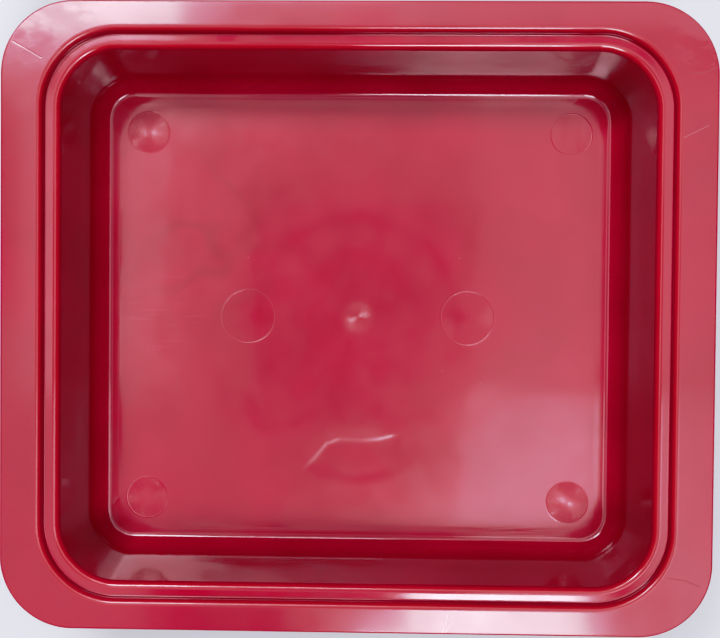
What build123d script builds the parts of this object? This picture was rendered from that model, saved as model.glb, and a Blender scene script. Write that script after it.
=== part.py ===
from build123d import *
from math import cos, radians, tan
import os

# Deep moulded developing tray, in millimetres.
# The whole tray is one injection moulding: a flat floor, drafted walls, a narrow ledge round the mouth
# and a wide flange with a turned-down lip. X is the long way, Y the short way, +Z is up out of the tray,
# and the origin is the middle of the underside, on the surface that the tray stands on.

# Overall sizes
overall_length = 355.0
overall_width = 313.5
overall_height = 57.0
outer_corner_radius = 36.5
wall = 2.5
floor_thickness = 2.5

# Rim: flange, step and ledge. The flange is wider on the two sides than along the two ends.
side_flange = 20.4
end_flange = 15.1
step_drop = 4.5
ledge_width = 7.1
step_draft = 2.0
lip_height = 6.0
lip_thickness = 2.0
lip_edge_radius = 1.2
lip_root_radius = 1.0
lip_rim_radius = 0.6

# Basin. Its upright corners are rounder at the mouth than at the floor.
mouth_corner_radius = 30.0
floor_corner_radius = 20.5
wall_draft = 5.0
floor_edge_radius = 10.0
mouth_edge_radius = 3.5
flange_edge_radius = 2.9
ledge_root_radius = 0.8
underside_root_radius = 1.0

# Witness marks of the ejector discs and of the centre gate in the floor
corner_mark_diameter = 23.0
corner_mark_inset = 17.9
middle_mark_diameter = 30.0
middle_mark_offset = 61.5
mark_depth = 0.15
gate_mark_diameter = 4.0
gate_mark_depth = 0.3

# Underside: gate well with its stub, ring groove and the blank oval panel
gate_well_diameter = 14.0
gate_well_depth = 0.9
gate_stub_diameter = 2.4
gate_stub_height = 0.6
ring_outer_radius = 58.0
ring_width = 11.0
ring_depth = 0.4
oval_length = 60.0
oval_width = 32.0
oval_offset = 78.5
oval_depth = 0.4

# Levels
ledge_level = overall_height - step_drop
flange_underside = overall_height - wall
ledge_underside = ledge_level - wall

# Plan sizes of the mouth, which is the line where the basin wall would meet the ledge
step_run = step_drop * tan(radians(step_draft))
mouth_length = overall_length - 2 * (side_flange + step_run + ledge_width)
mouth_width = overall_width - 2 * (end_flange + step_run + ledge_width)
basin_skin = wall / cos(radians(wall_draft))
step_skin = wall / cos(radians(step_draft))


def basin_outline(level, stand_off=0):
    """Length, width and corner radius of the basin wall's inner face at a level, moved outwards."""
    run = (ledge_level - level) * tan(radians(wall_draft))
    share = (ledge_level - level) / (ledge_level - floor_thickness)
    corner = mouth_corner_radius + share * (floor_corner_radius - mouth_corner_radius)
    return mouth_length + 2 * (stand_off - run), mouth_width + 2 * (stand_off - run), corner + stand_off


def step_outline(level, stand_off=0):
    """The same for the step between ledge and flange, which follows the mouth line at a distance."""
    reach = ledge_width + (level - ledge_level) * tan(radians(step_draft)) + stand_off
    return mouth_length + 2 * reach, mouth_width + 2 * reach, mouth_corner_radius + reach


def level_face(level):
    """The largest flat face of the tray at a level."""
    faces = tray.faces().filter_by(Axis.Z).filter_by_position(Axis.Z, level - 0.01, level + 0.01)
    return faces.sort_by(SortBy.AREA)[-1]


# Flat of the floor inside the curved edge, and the rows that the corner marks stand on
floor_edge_run = floor_edge_radius * tan(radians(0.5 * (90 - wall_draft)))
floor_outline = basin_outline(floor_thickness, -floor_edge_run)
corner_mark_x = 0.5 * floor_outline[0] - corner_mark_inset
corner_mark_y = 0.5 * floor_outline[1] - corner_mark_inset

with BuildPart() as tray:
    # Basin, then the ledge and the step round its mouth, hollowed out from above
    for outline, low, high, stand_off, mode in (
        (basin_outline, 0, ledge_level, basin_skin, Mode.ADD),
        (step_outline, ledge_underside, overall_height, step_skin, Mode.ADD),
        (basin_outline, floor_thickness, ledge_level, 0, Mode.SUBTRACT),
        (step_outline, ledge_level, overall_height, 0, Mode.SUBTRACT),
    ):
        for level in (low, high):
            with BuildSketch(Plane.XY.offset(level)):
                RectangleRounded(*outline(level, stand_off))
        loft(ruled=True, mode=mode)

    # Flange
    with BuildSketch(Plane.XY.offset(flange_underside)):
        RectangleRounded(overall_length, overall_width, outer_corner_radius)
        RectangleRounded(*step_outline(overall_height, 0.5 * wall), mode=Mode.SUBTRACT)
    extrude(amount=wall)

    # Turned-down lip round the flange
    with BuildSketch(Plane.XY.offset(overall_height - lip_height)):
        RectangleRounded(overall_length, overall_width, outer_corner_radius)
        RectangleRounded(
            overall_length - 2 * lip_thickness,
            overall_width - 2 * lip_thickness,
            outer_corner_radius - lip_thickness,
            mode=Mode.SUBTRACT,
        )
    extrude(amount=lip_height - wall)

    # Rounded edges, from the lip inwards and down
    fillet(level_face(overall_height).outer_wire().edges(), lip_edge_radius)
    fillet(level_face(flange_underside).outer_wire().edges(), lip_root_radius)
    fillet(level_face(overall_height - lip_height).edges(), lip_rim_radius)
    fillet(level_face(overall_height).inner_wires().edges(), flange_edge_radius)
    fillet(level_face(flange_underside).inner_wires().edges(), underside_root_radius)
    fillet(level_face(ledge_level).outer_wire().edges(), ledge_root_radius)
    fillet(level_face(ledge_level).inner_wires().edges(), mouth_edge_radius)
    fillet(level_face(ledge_underside).outer_wire().edges(), ledge_root_radius + wall)
    fillet(level_face(ledge_underside).inner_wires().edges(), underside_root_radius)
    fillet(level_face(floor_thickness).outer_wire().edges(), floor_edge_radius)
    fillet(level_face(0).outer_wire().edges(), floor_edge_radius + wall)

    # Witness marks in the floor: four ejector discs in the corners, two in the middle and the gate
    with BuildSketch(Plane.XY.offset(floor_thickness)):
        with GridLocations(2 * corner_mark_x, 2 * corner_mark_y, 2, 2):
            Circle(0.5 * corner_mark_diameter)
        with GridLocations(2 * middle_mark_offset, 0, 2, 1):
            Circle(0.5 * middle_mark_diameter)
    extrude(amount=-mark_depth, mode=Mode.SUBTRACT)
    with BuildSketch(Plane.XY.offset(floor_thickness)):
        Circle(0.5 * gate_mark_diameter)
    extrude(amount=-gate_mark_depth, mode=Mode.SUBTRACT)

    # Ring groove and blank oval panel, sunk into the underside
    with BuildSketch():
        Circle(ring_outer_radius)
        Circle(ring_outer_radius - ring_width, mode=Mode.SUBTRACT)
    extrude(amount=ring_depth, mode=Mode.SUBTRACT)
    with BuildSketch():
        with Locations((0, -oval_offset)):
            Ellipse(0.5 * oval_length, 0.5 * oval_width)
    extrude(amount=oval_depth, mode=Mode.SUBTRACT)

    # Gate well, with the stub of the gate standing in it below the surface that the tray rests on
    with BuildSketch():
        Circle(0.5 * gate_well_diameter)
        Circle(0.5 * gate_stub_diameter, mode=Mode.SUBTRACT)
    extrude(amount=gate_well_depth, mode=Mode.SUBTRACT)
    with BuildSketch():
        Circle(0.5 * gate_stub_diameter)
    extrude(amount=gate_well_depth - gate_stub_height, mode=Mode.SUBTRACT)

os.makedirs("parts", exist_ok=True)
tray.part.label = "tray"
export_step(tray.part, "parts/tray.step")
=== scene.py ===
from math import atan2, cos, pi, radians, sin, tan

import bmesh
import bpy
import numpy as np
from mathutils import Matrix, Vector, noise
from mathutils.geometry import delaunay_2d_cdt


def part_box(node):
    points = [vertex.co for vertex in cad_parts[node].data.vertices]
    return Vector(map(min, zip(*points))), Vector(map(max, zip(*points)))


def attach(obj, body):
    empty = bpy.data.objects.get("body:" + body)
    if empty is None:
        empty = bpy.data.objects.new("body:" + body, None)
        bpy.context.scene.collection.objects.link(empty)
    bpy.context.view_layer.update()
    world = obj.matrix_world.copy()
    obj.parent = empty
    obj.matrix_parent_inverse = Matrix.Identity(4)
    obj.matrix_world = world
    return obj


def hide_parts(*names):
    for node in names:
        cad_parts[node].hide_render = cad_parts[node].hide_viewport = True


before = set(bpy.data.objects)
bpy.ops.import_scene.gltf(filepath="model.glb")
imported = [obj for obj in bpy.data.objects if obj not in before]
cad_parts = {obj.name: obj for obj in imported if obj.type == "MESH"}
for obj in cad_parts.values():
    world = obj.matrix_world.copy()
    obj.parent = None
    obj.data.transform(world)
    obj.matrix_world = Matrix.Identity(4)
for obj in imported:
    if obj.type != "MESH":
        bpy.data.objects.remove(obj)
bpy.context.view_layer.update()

# --- Basin, ledge, step and flange ----------------------------------------------------------------
# The tray is one injection moulding in red polypropylene. A single drafted section, with a narrow
# ledge and a small step at its top, runs right round the mouth and carries the wide flat flange,
# whose lip is turned down. The moulded skin is one closed mesh, made ring by ring up this section.

tray_low, tray_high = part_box("tray")
tray_length, tray_width, tray_height = tray_high - tray_low
wall = 0.0025
floor_level = 0.0025
side_flange = 0.0204
end_flange = 0.0151
step_drop = 0.0045
step_draft = radians(2)
ledge_width = 0.0071
wall_draft = radians(5)
mouth_corner = 0.030
floor_corner = 0.0205
outer_corner = 0.0365

ledge_level = tray_height - step_drop
step_run = step_drop * tan(step_draft)
mouth_half_length = tray_length / 2 - side_flange - step_run - ledge_width
mouth_half_width = tray_width / 2 - end_flange - step_run - ledge_width


def wall_stand_off(level):
    """How far the basin wall's inner face stands outside the mouth line at a level."""
    return (level - ledge_level) * tan(wall_draft)


def step_stand_off(level):
    """The same for the step between ledge and flange."""
    return ledge_width + (level - ledge_level) * tan(step_draft)


def rounded(points, steps_per_turn=64):
    """Points of a line through corners (across, level, radius), with an arc at each inner corner."""
    line = [Vector(points[0][:2])]
    for before, corner, after in zip(points, points[1:], points[2:]):
        here, radius = Vector(corner[:2]), corner[2]
        back, onward = (Vector(before[:2]) - here).normalized(), (Vector(after[:2]) - here).normalized()
        turn = pi - back.angle(onward)
        reach = radius * tan(turn / 2)
        middle = here + (back + onward).normalized() * radius / cos(turn / 2)
        start, end = here + back * reach - middle, here + onward * reach - middle
        steps = max(3, round(steps_per_turn * turn / (2 * pi)))
        for step in range(steps + 1):
            share = step / steps
            spoke = (start * sin((1 - share) * turn) + end * sin(share * turn)) / sin(turn)
            line.append(middle + spoke)
    line.append(Vector(points[-1][:2]))
    return line


def spaced(line, longest=0.004, margin=0.0004):
    """The line with its long straights divided, and a point close to each of their ends.

    Those end points keep the flats flat where the skin is shaded smooth."""
    full = [line[0]]
    for a, b in zip(line, line[1:]):
        span = (b - a).length
        if span > 4 * margin:
            full += [a + (b - a) * margin / span]
            parts = max(1, round(span / longest))
            full += [a.lerp(b, part / parts) for part in range(1, parts)]
            full += [b - (b - a) * margin / span]
        full.append(b)
    return full


corner_steps = 20
side_steps = 52


def outline(half_length, half_width, corner, level):
    """One ring: a rectangle with round corners, always with the same number of points."""
    arcs = []
    for quarter, (x_side, y_side) in enumerate(((1, 1), (-1, 1), (-1, -1), (1, -1))):
        turn = quarter * pi / 2
        centre = Vector((x_side * (half_length - corner), y_side * (half_width - corner), level))
        arc = [
            centre + corner * Vector((cos(turn + step * pi / 2 / corner_steps),
                                      sin(turn + step * pi / 2 / corner_steps), 0))
            for step in range(corner_steps + 1)
        ]
        arcs.append(arc)
    points = []
    for arc, following in zip(arcs, arcs[1:] + arcs[:1]):
        points += arc
        points += [arc[-1].lerp(following[0], step / side_steps) for step in range(1, side_steps)]
    return points


def mouth_ring(stand_off, level):
    """A ring that follows the mouth line at a distance. Its corners get tighter down the wall."""
    below = max(0, (ledge_level - level) / (ledge_level - floor_level))
    corner = mouth_corner + below * (floor_corner - mouth_corner)
    if below:
        corner -= wall_stand_off(level)
    return outline(mouth_half_length + stand_off, mouth_half_width + stand_off, corner + stand_off, level)


def rim_ring(inset, level):
    """A ring that follows the flange's outer edge at a distance."""
    return outline(tray_length / 2 - inset, tray_width / 2 - inset, outer_corner - inset, level)


def blended(first, last, count):
    """Rings between two rings, evenly spaced."""
    return [
        [a.lerp(b, step / (count + 1)) for a, b in zip(first, last)]
        for step in range(1, count + 1)
    ]


# The wall turns into the floor through a wide arc and a tighter one, which meet at 45 degrees.
floor_edge = 0.0100
edge_run = floor_edge * tan((pi / 2 - wall_draft) / 2)
floor_line = wall_stand_off(floor_level) - edge_run
floor_overlap = 0.0020
crease_radius = 0.0045
sweep_radius = 0.0150
crease_gap = 0.0008
crease_reach = crease_radius * tan(pi / 8) + sweep_radius * tan(pi / 8 - wall_draft / 2) + crease_gap
crease_rise = crease_reach * sin(pi / 4)
crease = wall_stand_off(floor_level + crease_rise) - crease_rise
mouth_edge = 0.0035
ledge_root = 0.0008
flange_edge = 0.0029
flange_start = step_stand_off(tray_height) + 0.0050
inner_section = [
    (floor_line - floor_overlap, floor_level, 0),
    (crease, floor_level, crease_radius),
    (crease + crease_rise, floor_level + crease_rise, sweep_radius),
    (0, ledge_level, mouth_edge),
    (ledge_width, ledge_level, ledge_root),
    (step_stand_off(tray_height), tray_height, flange_edge),
    (flange_start, tray_height, 0),
]
skin = wall / cos(wall_draft)
underside_root = 0.0010
outer_section = [
    (flange_start, tray_height - wall, 0),
    (step_stand_off(tray_height - wall) + skin, tray_height - wall, underside_root),
    (step_stand_off(ledge_level - wall) + skin, ledge_level - wall, ledge_root + wall),
    (wall_stand_off(ledge_level - wall) + skin, ledge_level - wall, underside_root),
    (wall_stand_off(0) + skin, 0, floor_edge + wall),
    (floor_line - 2 * floor_overlap, 0, 0),
]
lip_height = 0.006
lip_thickness = 0.002
lip_start = 0.006
lip_edge = 0.0012
lip_rim = 0.0006
lip_root = 0.0010
lip_section = [
    (lip_start, tray_height, 0),
    (0, tray_height, lip_edge),
    (0, tray_height - lip_height, lip_rim),
    (lip_thickness, tray_height - lip_height, lip_rim),
    (lip_thickness, tray_height - wall, lip_root),
    (lip_start, tray_height - wall, 0),
]

inner_places = spaced(rounded(inner_section))
top_rings = [mouth_ring(*place) for place in inner_places]
lip_rings = [rim_ring(*place) for place in spaced(rounded(lip_section))]
under_rings = [mouth_ring(*place) for place in spaced(rounded(outer_section, 32), 0.006)]
rings = (
    top_rings
    + blended(top_rings[-1], lip_rings[0], 6)
    + lip_rings
    + blended(lip_rings[-1], under_rings[0], 3)
    + under_rings
)

skin_mesh = bmesh.new()
ring_verts = [[skin_mesh.verts.new(point) for point in ring] for ring in rings]
for lower, upper in zip(ring_verts, ring_verts[1:]):
    for index in range(len(lower)):
        following = (index + 1) % len(lower)
        skin_mesh.faces.new((lower[index], lower[following], upper[following], upper[index]))

# --- Floor, with the marks of the mould -----------------------------------------------------------
# The floor is flat, with the round witness lines of six ejector discs and of the gate in it. Behind
# the blank panel and the ring under the floor the plastic has sunk a little as it cooled.

corner_mark_inset = 0.0179
corner_mark_radius = 0.0115
middle_mark_offset = 0.0615
middle_mark_radius = 0.0150
corner_mark_x = mouth_half_length + floor_line - corner_mark_inset
corner_mark_y = mouth_half_width + floor_line - corner_mark_inset
marks = [
    (Vector((side * corner_mark_x, end * corner_mark_y)), corner_mark_radius)
    for side in (-1, 1) for end in (-1, 1)
]
marks += [(Vector((side * middle_mark_offset, 0)), middle_mark_radius) for side in (-1, 1)]
mark_depth = 0.00005
mark_edge = 0.0003
bead_height = 0.00005
bead_width = 0.00022

# The blank panel's sink mark is a soft oval with an S-shaped crease across it.
panel_centre = Vector((0, -0.0785))
panel_half = Vector((0.030, 0.016))
panel_sink = 0.00030
crease_line = [(-0.033, -0.088), (-0.024, -0.080), (-0.017, -0.0715), (-0.010, -0.069),
               (0.004, -0.0695), (0.013, -0.0685), (0.020, -0.0665), (0.026, -0.0660)]
crease_sink = 0.00022

# The ring has left a sink mark too, the gate a low dome with a pit, and the melt's flow faint waves.
ring_sink = 0.00020
gate_rise = 0.00004
gate_pit = 0.00012
flow_depth = 0.00007
left_flow_depth = 0.00009


def soft(value, low, high):
    """0 below low, 1 above high, and a smooth rise between."""
    share = min(max((value - low) / (high - low), 0), 1)
    return share * share * (3 - 2 * share)


def panel_share(x, y):
    """How far a point is from the blank panel's centre, as a share of the way to its outline."""
    return Vector(((x - panel_centre.x) / panel_half.x, (y - panel_centre.y) / panel_half.y)).length


def below_crease(point):
    """How far a point is below the crease, and how far along the crease from 0 to 1."""
    nearest = 1
    for index, (a, b) in enumerate(zip(crease_line, crease_line[1:])):
        start, run = Vector(a), Vector(b) - Vector(a)
        share = min(max((point - start).dot(run) / run.length_squared, 0), 1)
        gap = point - start - share * run
        if gap.length < nearest:
            nearest = gap.length
            below = nearest if gap.x * run.y > gap.y * run.x else -nearest
            along = (index + share) / (len(crease_line) - 1)
    return below, along


def floor_height(x, y):
    """How far the floor stands above its level at a point."""
    here = Vector((x, y))
    height = 0
    for centre, radius in marks:
        distance = (here - centre).length
        height -= mark_depth * (1 - soft(distance, radius - mark_edge, radius))
        height += bead_height * (1 - soft(abs(distance - radius), 0, bead_width))

    height -= panel_sink * (1 - soft(panel_share(x, y), 0.55, 1.10))
    below, along = below_crease(here)
    fade = soft(along, 0, 0.12) * (1 - soft(along, 0.86, 1)) * (1 - soft(below, 0.001, 0.017))
    height -= crease_sink * soft(below, -0.0014, 0.0016) * fade

    from_gate = here.length
    ring = soft(from_gate, 0.036, 0.051) - soft(from_gate, 0.0525, 0.0595)
    height -= ring_sink * ring * (0.55 + 0.45 * sin(atan2(y, x) - 0.4))
    height += gate_rise * (1 - soft(from_gate, 0.002, 0.016))
    height -= gate_pit * (1 - soft(from_gate, 0.0004, 0.0021))

    waves = noise.noise(Vector((x * 34 + 4, y * 34, 0.4)))
    ripples = noise.noise(Vector((x * 80, y * 80, 3.1)))
    left_flow = left_flow_depth * soft(from_gate, 0.055, 0.085) * soft(-x, -0.02, 0.05)
    return height + (flow_depth + left_flow) * (waves + 0.5 * ripples)


def patch(boundary, seeds, level, height):
    """Fills a ring with a mesh through the seed points, lifted by height(x, y)."""
    points = [Vector((vert.co.x, vert.co.y)) for vert in boundary] + seeds
    edges = [(index, (index + 1) % len(boundary)) for index in range(len(boundary))]
    places, _, triangles, origin, _, _ = delaunay_2d_cdt(points, edges, [], 1, 1e-7)
    verts = []
    for place, sources in zip(places, origin):
        if sources and sources[0] < len(boundary):
            verts.append(boundary[sources[0]])
        else:
            verts.append(skin_mesh.verts.new((place.x, place.y, level + height(place.x, place.y))))
    for triangle in triangles:
        skin_mesh.faces.new([verts[index] for index in triangle])


def round_seeds(centre, radii, count):
    """Seed points on circles, for a crisp round edge in a patch."""
    return [
        centre + radius * Vector((cos(2 * pi * step / count), sin(2 * pi * step / count)))
        for radius in radii for step in range(count)
    ]


def grid_seeds(half_length, half_width, spacing, allowed):
    """Seed points on a grid, wherever allowed(point) says so."""
    across, along = round(half_length / spacing), round(half_width / spacing)
    grid = [
        Vector((column * spacing, row * spacing))
        for column in range(-across, across + 1) for row in range(-along, along + 1)
    ]
    return [point for point in grid if allowed(point)]


floor_half_length = mouth_half_length + floor_line - floor_overlap
floor_half_width = mouth_half_width + floor_line - floor_overlap
flat_corner = floor_corner - edge_run - floor_overlap


def inside_floor(point):
    """True if a point is on the flat of the floor, clear of its edge."""
    over_x = max(abs(point.x) - (floor_half_length - flat_corner), 0)
    over_y = max(abs(point.y) - (floor_half_width - flat_corner), 0)
    return Vector((over_x, over_y)).length < flat_corner - 0.002


panel_surround = Vector((0.038, 0.021))
mark_surround = 0.0015
gate_surround = 0.014


def near_panel(point):
    """True if a point is on or close to the blank panel's sink mark."""
    away = point - panel_centre
    return abs(away.x) < panel_surround.x and abs(away.y) < panel_surround.y


def open_floor(point):
    """True if a point is on the floor, clear of its edge, of all the marks and of the gate."""
    clear = all((point - centre).length > radius + mark_surround for centre, radius in marks)
    return clear and inside_floor(point) and not near_panel(point) and point.length > gate_surround


gate = Vector((0, 0))
floor_seeds = grid_seeds(floor_half_length, floor_half_width, 0.0022, open_floor)
floor_seeds += grid_seeds(floor_half_length, floor_half_width, 0.0009, near_panel)
for centre, radius in marks:
    bead_circles = [radius + share * bead_width for share in (1, 0.5, 0, -0.5, -1)]
    edge_circles = [radius + 0.0008] + bead_circles + [radius - 0.0004, radius - 0.0010]
    floor_seeds += round_seeds(centre, edge_circles, 96)
    floor_seeds += round_seeds(centre, [radius * share for share in (0.75, 0.5, 0.25)], 32)
    floor_seeds.append(centre)
gate_circles = [0.0004, 0.0008, 0.0012, 0.0016, 0.0021, 0.0028, 0.0040, 0.0060, 0.0085, 0.0110, 0.0135]
floor_seeds += round_seeds(gate, gate_circles, 40)
floor_seeds.append(gate)
patch(ring_verts[0], floor_seeds, floor_level, floor_height)

# --- Underside ------------------------------------------------------------------------------------
# The tray stands on its flat base. The gate's stub is kept clear of the bench in a small round well,
# and a shallow ring groove and a blank oval panel are sunk into the base by the mould.

ring_inner = 0.0470
ring_outer = 0.0580
ring_depth = 0.0004
panel_depth = 0.0004
well_radius = 0.0070
well_depth = 0.0009
stub_radius = 0.0012
stub_height = 0.0006
groove_slope = 0.0003


def underside_height(x, y):
    """How far the underside stands above the surface that the tray rests on."""
    from_gate = Vector((x, y)).length
    into_ring = soft(from_gate, ring_inner, ring_inner + groove_slope)
    out_of_ring = soft(from_gate, ring_outer - groove_slope, ring_outer)
    height = max(
        ring_depth * (into_ring - out_of_ring),
        panel_depth * (1 - soft(panel_share(x, y), 0.985, 1)),
        well_depth * (1 - soft(from_gate, well_radius - groove_slope, well_radius)),
    )
    return height - stub_height * (1 - soft(from_gate, stub_radius - 0.0002, stub_radius))


well_surround = 0.012
ring_middle = (ring_inner + ring_outer) / 2
ring_surround = 0.007


def open_base(point):
    """True if a point is on the flat base, clear of the gate well and of the ring groove."""
    clear = point.length > well_surround and abs(point.length - ring_middle) > ring_surround
    return clear and inside_floor(point)


underside_seeds = grid_seeds(floor_half_length, floor_half_width, 0.006, open_base)
ring_circles = [ring_inner + step for step in (-0.0022, 0, 0.00015, 0.0003, 0.0030)]
ring_circles += [ring_outer + step for step in (-0.0030, -0.0003, -0.00015, 0, 0.0022)]
underside_seeds += round_seeds(gate, ring_circles, 128)
well_circles = [0.0006, 0.0010, stub_radius, 0.0020, 0.0045]
well_circles += [well_radius + step for step in (-0.0003, -0.00015, 0, 0.0015)]
underside_seeds += round_seeds(gate, well_circles, 48)
for share in (0.93, 0.985, 0.9925, 1, 1.05):
    half_x, half_y = share * panel_half
    turns = [step * pi / 48 for step in range(96)]
    underside_seeds += [panel_centre + Vector((half_x * cos(turn), half_y * sin(turn))) for turn in turns]
patch(ring_verts[-1], underside_seeds, 0, underside_height)

skin_mesh.verts.index_update()
inner_rows = [[vert.index for vert in row] for row in ring_verts[:len(inner_places)]]
bmesh.ops.recalc_face_normals(skin_mesh, faces=skin_mesh.faces)
tray_mesh = bpy.data.meshes.new("tray_moulding")
skin_mesh.to_mesh(tray_mesh)
skin_mesh.free()
tray_mesh.shade_smooth()
tray = bpy.data.objects.new("tray_moulding", tray_mesh)
bpy.context.scene.collection.objects.link(tray)

# --- Grain and polish left by the mould -----------------------------------------------------------
# The ejector discs and the gate keep the fine turned grain of the steel behind them, which shows as
# a pair of soft glints. The walls and the finer discs are polished more than the floor and the flange.
# The convex edges are painted a brighter orange red, a painted glow that stands in for light shining
# through their thin plastic.

tray_mesh.attributes.new("grain", "FLOAT_VECTOR", "POINT")
tray_mesh.attributes.new("painted_edge_glow", "FLOAT", "POINT")
tray_mesh.attributes.new("polish", "FLOAT", "POINT")
grain_values = np.zeros((len(tray_mesh.vertices), 3))
painted_glow_values = np.zeros(len(tray_mesh.vertices))
polish_values = np.zeros(len(tray_mesh.vertices))
# How strong the grain is on each disc, in the order of the marks.
disc_grain = (0.35, 0.9, 1.0, 0.2, 0.12, 0.12)
gate_grain_reach = 0.022
painted_glow_reach = 0.0022
floor_relief = 0.0005


def turned_grain(spoke, amount):
    """The grain at the end of a spoke: square to it, and as strong as the amount."""
    return -spoke.y * amount / spoke.length, spoke.x * amount / spoke.length, 0


for vert in tray_mesh.vertices:
    if abs(vert.co.z - floor_level) > floor_relief:
        continue
    here = Vector((vert.co.x, vert.co.y))
    for (centre, radius), strength in zip(marks, disc_grain):
        spoke = here - centre
        if spoke.length < radius - 0.00005:
            polish_values[vert.index] = 1 - strength
        if 0 < spoke.length < radius:
            amount = strength * (0.5 + 1.2 * soft(spoke.length, 0.2 * radius, 0.7 * radius))
            grain_values[vert.index] = turned_grain(spoke, amount)
    if 0 < here.length < gate_grain_reach:
        amount = (1 - soft(here.length, 0.001, gate_grain_reach)) ** 3
        grain_values[vert.index] = turned_grain(here, amount)

# The rows near the mouth rim and the flange rim carry the painted glow, strongest at each rim.
mouth_rim = Vector((0.0010, ledge_level))
flange_rim = Vector((step_stand_off(tray_height) + 0.0008, tray_height))
for row, place in zip(inner_rows, inner_places):
    gap = min((place - mouth_rim).length, (place - flange_rim).length)
    painted_glow_values[row] = max(0, 1 - gap / painted_glow_reach)
    polish_values[row] = 1 - soft(place.y, tray_height - 0.0012, tray_height - 0.0003)
tray_mesh.attributes["grain"].data.foreach_set("vector", grain_values.ravel())
tray_mesh.attributes["painted_edge_glow"].data.foreach_set("value", painted_glow_values)
tray_mesh.attributes["polish"].data.foreach_set("value", polish_values)

# --- Red polypropylene ----------------------------------------------------------------------------
# Glossy deep red plastic. It has a faint orange-peel skin, machining lines copied from the mould in
# the floor, knit lines where the melt met on the flange, rubbed corners and a few fine scratches. The
# knit lines and the flow lines are painted darker as painted shade, the rubbed corners pale pink as
# painted sheen, and the convex edges brighter as a painted glow.

plastic = bpy.data.materials.new("red_polypropylene")
plastic.use_nodes = True
nodes, links = plastic.node_tree.nodes, plastic.node_tree.links
shader = nodes["Principled BSDF"]
shader.inputs["Coat Weight"].default_value = 0.30
shader.inputs["Coat Roughness"].default_value = 0.08
surface_place = nodes.new("ShaderNodeTexCoord").outputs["Object"]


def calculate(operation, *values):
    """A Math node; each value is a number or another node's output."""
    node = nodes.new("ShaderNodeMath")
    node.operation = operation
    for socket, value in zip(node.inputs, values):
        if isinstance(value, (int, float)):
            socket.default_value = value
        else:
            links.new(value, socket)
    return node.outputs["Value"]


def vector_math(operation, output, *values, scale=None):
    """A Vector Math node; each value is a triple or another node's output."""
    node = nodes.new("ShaderNodeVectorMath")
    node.operation = operation
    for socket, value in zip(node.inputs, values):
        if isinstance(value, tuple):
            socket.default_value = value
        else:
            links.new(value, socket)
    if scale is not None:
        links.new(scale, node.inputs["Scale"])
    return node.outputs[output]


def between(value, low, high, low_result=0, high_result=1):
    """Smoothly maps a value between low and high to a result."""
    node = nodes.new("ShaderNodeMapRange")
    node.interpolation_type = "SMOOTHSTEP"
    node.inputs["From Min"].default_value = low
    node.inputs["From Max"].default_value = high
    node.inputs["To Min"].default_value = low_result
    node.inputs["To Max"].default_value = high_result
    links.new(value, node.inputs["Value"])
    return node.outputs["Result"]


def cloud(scale, detail=2, stretch=(1, 1, 1), turn=0):
    """Noise over the surface, 0 to 1, with scale in cells per metre, stretched and turned about Z."""
    mapping = nodes.new("ShaderNodeMapping")
    mapping.inputs["Scale"].default_value = stretch
    mapping.inputs["Rotation"].default_value = (0, 0, turn)
    links.new(surface_place, mapping.inputs["Vector"])
    node = nodes.new("ShaderNodeTexNoise")
    node.inputs["Scale"].default_value = scale
    node.inputs["Detail"].default_value = detail
    links.new(mapping.outputs["Vector"], node.inputs["Vector"])
    return node.outputs["Fac"]


def near_spot(place, reach, squash=(1, 1, 1)):
    """1 at a place on the tray, falling to 0 at a distance."""
    apart = vector_math("SUBTRACT", "Vector", surface_place, place)
    apart = vector_math("MULTIPLY", "Vector", apart, squash)
    return between(vector_math("LENGTH", "Value", apart), 0, reach, 1, 0)


def near_line(start, end, width):
    """1 on a straight line between two places, falling to 0 at a distance beside it."""
    start, end = Vector(start), Vector(end)
    run = end - start
    from_start = vector_math("SUBTRACT", "Vector", surface_place, tuple(start))
    along = vector_math("DOT_PRODUCT", "Value", from_start, tuple(run / run.length_squared))
    along = calculate("MINIMUM", calculate("MAXIMUM", along, 0), 1)
    foot = vector_math("SCALE", "Vector", tuple(run), scale=along)
    apart = vector_math("SUBTRACT", "Vector", from_start, foot)
    return between(vector_math("LENGTH", "Value", apart), 0, width, 1, 0)


def moulded_in(name):
    """The value that the mesh carries under a name."""
    node = nodes.new("ShaderNodeAttribute")
    node.attribute_name = name
    return node


def largest(values):
    """The largest of several masks."""
    result = values[0]
    for value in values[1:]:
        result = calculate("MAXIMUM", result, value)
    return result


def tinted(base, tint, amount):
    """Mixes a colour towards a tint; base is a colour or another node's output.

    The Mix node's sockets share their names, so its colour sockets are picked by number."""
    node = nodes.new("ShaderNodeMix")
    node.data_type = "RGBA"
    if isinstance(base, tuple):
        node.inputs[6].default_value = base
    else:
        links.new(base, node.inputs[6])
    node.inputs[7].default_value = tint
    links.new(amount, node.inputs[0])
    return node.outputs[2]


def raised(height, distance, normal=None):
    """A Bump node for a height from 0 to 1 over a distance in metres."""
    node = nodes.new("ShaderNodeBump")
    node.inputs["Strength"].default_value = 1
    node.inputs["Distance"].default_value = distance
    links.new(height, node.inputs["Height"])
    if normal is not None:
        links.new(normal, node.inputs["Normal"])
    return node.outputs["Normal"]
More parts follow.
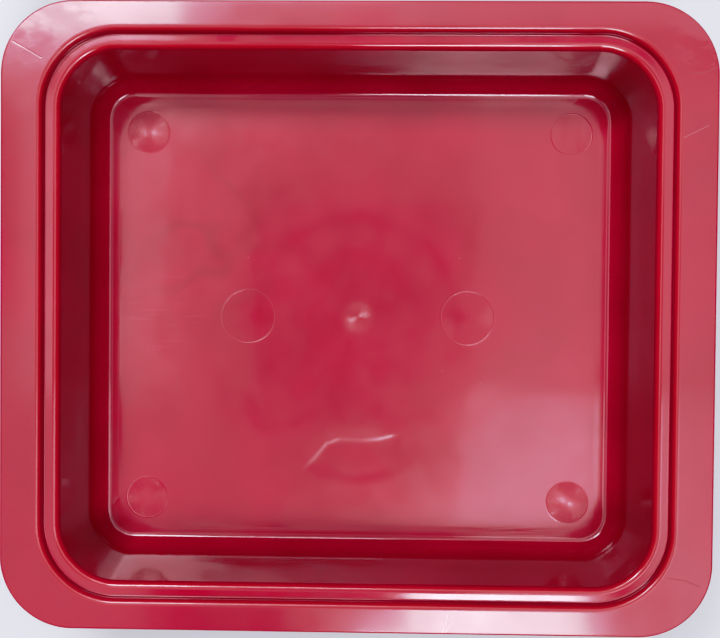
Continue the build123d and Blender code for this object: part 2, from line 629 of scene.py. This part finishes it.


# Knit lines and scratches on the flange, and specks on the floor. Blotchy rubbed patches at the flange
# corners are made rougher and painted pale pink as a painted sheen, and the knit lines are painted darker
# as shade.
top = tray_height
# The knit lines are shallow grooves; their darker tint further down is painted shade.
knit_grooves_and_shade = largest([
    near_line((-0.171, 0.136, top), (-0.157, 0.128, top), 0.0005),
    near_line((0.162, 0.1215, top), (0.170, 0.1220, top), 0.0005),
    near_line((0.170, 0.1220, top), (0.1765, 0.1255, top), 0.0005),
    near_line((0.156, -0.1270, top), (0.165, -0.1280, top), 0.0005),
    near_line((0.165, -0.1280, top), (0.1715, -0.1310, top), 0.0005),
])
scratches = largest([
    near_line((0.0470, -0.1470, top), (0.0445, -0.1560, top), 0.0003),
    near_line((0.0500, -0.1500, top), (0.0460, -0.1555, top), 0.0003),
    near_line((0.1600, 0.0900, top), (0.1720, 0.0960, top), 0.0002),
])
specks = largest([
    near_spot((-0.0620, 0.0330, floor_level), 0.0005),
    near_spot((0.0568, 0.0336, floor_level), 0.0005),
    near_spot((0.0478, -0.0300, floor_level), 0.0005),
    near_spot((0.0692, -0.0368, floor_level), 0.0005),
])
rubbed_and_sheen_corners = largest([
    near_spot((-0.166, 0.142, top), 0.030, (0.8, 1.1, 1)),
    near_spot((-0.150, 0.150, top), 0.022, (0.5, 1.4, 1)),
    near_spot((0.166, 0.140, top), 0.022),
])
# The rubbed blotches are rougher and also take a painted sheen: a pale pink tint further down.
smears_and_sheen = calculate("MULTIPLY", rubbed_and_sheen_corners, between(cloud(70, 5, (1, 1.8, 1), 0.6), 0.40, 0.60))

# Machining lines near one corner of the floor, and strokes and flow lines left of the gate. The flow
# lines are painted darker, a painted shade that stands in for their weaker sheen.
from_machining = vector_math("SUBTRACT", "Vector", surface_place, (0.095, -0.085, floor_level))
machined = between(vector_math("LENGTH", "Value", from_machining), 0.02, 0.075, 1, 0)
lines = calculate("MULTIPLY", cloud(1500, 2, (0.02, 1, 1), 0.02), machined)
fan = near_spot((-0.110, 0.002, floor_level), 0.036)
strokes = calculate("MULTIPLY", between(cloud(420, 2, (0.10, 1, 1), -0.12), 0.50, 0.72), fan)
flow_edge = calculate("ABSOLUTE", calculate("SUBTRACT", cloud(26, 1), 0.5))
flow_area = near_spot((-0.085, 0.040, floor_level), 0.075)
flow_line_shade = calculate("MULTIPLY", between(flow_edge, 0, 0.10, 1, 0), flow_area)

deep_red = (0.362, 0.001, 0.023, 1)
mottled_red = (0.402, 0.002, 0.028, 1)
stroke_red = (0.48, 0.045, 0.080, 1)
flow_shade_red = (0.27, 0.000, 0.010, 1)
painted_glow_red = (0.50, 0.014, 0.018, 1)
painted_sheen_pink = (0.60, 0.26, 0.30, 1)
scratched_pink = (0.70, 0.45, 0.46, 1)
knit_shade_red = (0.20, 0.002, 0.012, 1)
colour = tinted(deep_red, mottled_red, between(cloud(22, 3), 0.35, 0.65))
colour = tinted(colour, stroke_red, calculate("MULTIPLY", strokes, 0.55))
# Painted shade: the flow lines are tinted darker where they reflect less of the lights.
colour = tinted(colour, flow_shade_red, calculate("MULTIPLY", flow_line_shade, 0.55))
# Painted glow: the convex edges are tinted a brighter orange red, standing in for light shining through
# them.
colour = tinted(colour, painted_glow_red, calculate("MULTIPLY", moulded_in("painted_edge_glow").outputs["Fac"], 0.7))
# Painted sheen: the rubbed corner blotches are tinted pale pink, like the lamps' whitish reflection.
colour = tinted(colour, painted_sheen_pink, calculate("MULTIPLY", smears_and_sheen, 0.16))
colour = tinted(colour, scratched_pink, calculate("MULTIPLY", largest([scratches, specks]), 0.4))
# Painted shade: the knit lines are tinted darker, as if shaded in their grooves.
colour = tinted(colour, knit_shade_red, calculate("MULTIPLY", knit_grooves_and_shade, 0.35))
links.new(colour, shader.inputs["Base Color"])

roughness = between(cloud(60, 4), 0.3, 0.7, 0.19, 0.25)
smoothing = calculate("MULTIPLY", moulded_in("polish").outputs["Fac"], 0.10)
roughness = calculate("SUBTRACT", roughness, smoothing)
roughness = calculate("ADD", roughness, calculate("MULTIPLY", smears_and_sheen, 0.22))
links.new(roughness, shader.inputs["Roughness"])

normal = raised(cloud(260, 2), 0.000004)
normal = raised(calculate("ADD", lines, calculate("MULTIPLY", strokes, 2)), 0.000025, normal)
normal = raised(calculate("SUBTRACT", 1, knit_grooves_and_shade), 0.00005, normal)

# The grain is too fine to be seen line by line, so each point of it is tilted at random across it.
speckle = nodes.new("ShaderNodeTexWhiteNoise")
speckle.noise_dimensions = "3D"
fine_place = vector_math("MULTIPLY", "Vector", surface_place, (9000, 9000, 9000))
links.new(fine_place, speckle.inputs["Vector"])
tilt = calculate("MULTIPLY", calculate("SUBTRACT", speckle.outputs["Value"], 0.5), 0.8)
grain = vector_math("SCALE", "Vector", moulded_in("grain").outputs["Vector"], scale=tilt)
normal = vector_math("NORMALIZE", "Vector", vector_math("ADD", "Vector", normal, grain))
links.new(normal, shader.inputs["Normal"])
links.new(normal, shader.inputs["Coat Normal"])

tray_mesh.materials.append(plastic)
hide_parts("tray")
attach(tray, "root")

# --- Studio ---------------------------------------------------------------------------------------
# The tray lies on a wide pale floor, under large soft boxes that hang at one height and point
# straight down. The camera looks down from above the middle of the tray.

studio_reach = 6
studio_level = -0.0001
studio_floor_mesh = bpy.data.meshes.new("studio_floor")
studio_corners = [
    (x * studio_reach, y * studio_reach, studio_level)
    for x, y in ((-1, -1), (1, -1), (1, 1), (-1, 1))
]
studio_floor_mesh.from_pydata(studio_corners, [], [(0, 1, 2, 3)])
studio_floor = bpy.data.objects.new("studio_floor", studio_floor_mesh)
bpy.context.scene.collection.objects.link(studio_floor)
paint = bpy.data.materials.new("pale_floor")
paint.use_nodes = True
paint_shader = paint.node_tree.nodes["Principled BSDF"]
paint_shader.inputs["Base Color"].default_value = (0.75, 0.75, 0.74, 1)
paint_shader.inputs["Roughness"].default_value = 0.8
studio_floor_mesh.materials.append(paint)

# The backdrop is bright to the camera only, so that it adds next to no light to the tray.
world = bpy.data.worlds.new("studio")
world.use_nodes = True
backdrop = world.node_tree.nodes["Background"]
backdrop.inputs["Color"].default_value = (0.9, 0.92, 1.0, 1)
backdrop_strength = world.node_tree.nodes.new("ShaderNodeMapRange")
backdrop_strength.inputs["To Min"].default_value = 0.02
backdrop_strength.inputs["To Max"].default_value = 0.75
ray = world.node_tree.nodes.new("ShaderNodeLightPath")
world.node_tree.links.new(ray.outputs["Is Camera Ray"], backdrop_strength.inputs["Value"])
world.node_tree.links.new(backdrop_strength.outputs["Result"], backdrop.inputs["Strength"])
bpy.context.scene.world = world

light_height = 1.5


def soft_light(name, place, size, power):
    """A soft box over a place on the floor, which points straight down."""
    lamp = bpy.data.lights.new(name, "AREA")
    lamp.shape = "RECTANGLE"
    lamp.size, lamp.size_y = size
    lamp.energy = power
    lamp.color = (0.95, 0.97, 1.12)
    light = bpy.data.objects.new(name, lamp)
    light.location = (*place, light_height)
    bpy.context.scene.collection.objects.link(light)


soft_light("upper_left_box", (-0.72, 0.87), (0.55, 0.45), 19)
soft_light("upper_box", (-0.20, 0.92), (0.50, 0.36), 6)
soft_light("upper_right_panel", (0.50, 0.85), (0.90, 0.40), 3.2)
soft_light("lower_right_box", (0.30, -0.70), (0.40, 0.14), 4.6)
soft_light("lower_box", (0.25, -0.92), (0.55, 0.36), 11)
soft_light("lower_right_panel", (0.85, -0.80), (0.30, 0.50), 1.6)
soft_light("right_spot", (0.44, -0.35), (0.42, 0.31), 2.1)
soft_light("right_panel", (0.60, 0.20), (0.70, 0.70), 2.8)
soft_light("left_panel", (-0.66, 0.15), (0.30, 0.70), 1.9)
soft_light("lower_left_panel", (-0.76, -0.46), (0.50, 0.90), 1.7)
soft_light("far_right_panel", (0.80, -0.40), (0.36, 0.46), 1.2)
soft_light("overhead_left", (-0.50, 0), (0.42, 1.10), 1.6)
soft_light("overhead_top", (0.02, 0.44), (0.62, 0.36), 0.75)
soft_light("overhead_bottom", (-0.05, -0.46), (0.60, 0.36), 0.6)
soft_light("overhead_middle", (0, 0), (0.52, 0.52), 0.35)

camera_data = bpy.data.cameras.new("camera")
camera_data.sensor_width = 36
camera_data.lens = 40
camera = bpy.data.objects.new("camera", camera_data)
camera_above_flange = 0.3955
camera.location = (0.0089, 0.0056, tray_height + camera_above_flange)
camera.rotation_euler = (-0.0145, 0.017, 0.009)
bpy.context.scene.collection.objects.link(camera)
bpy.context.scene.camera = camera

# The tone curve deepens the dark shades and holds the brightest ones back.
view = bpy.context.scene.view_settings
view.view_transform = "Standard"
view.use_curve_mapping = True
response = view.curve_mapping.curves[3].points
for shade, result in ((0.015, 0.006), (0.06, 0.048), (0.20, 0.155), (0.50, 0.48), (0.80, 0.69)):
    response.new(shade, result)
response[-1].location = (1.0, 0.80)
view.curve_mapping.update()
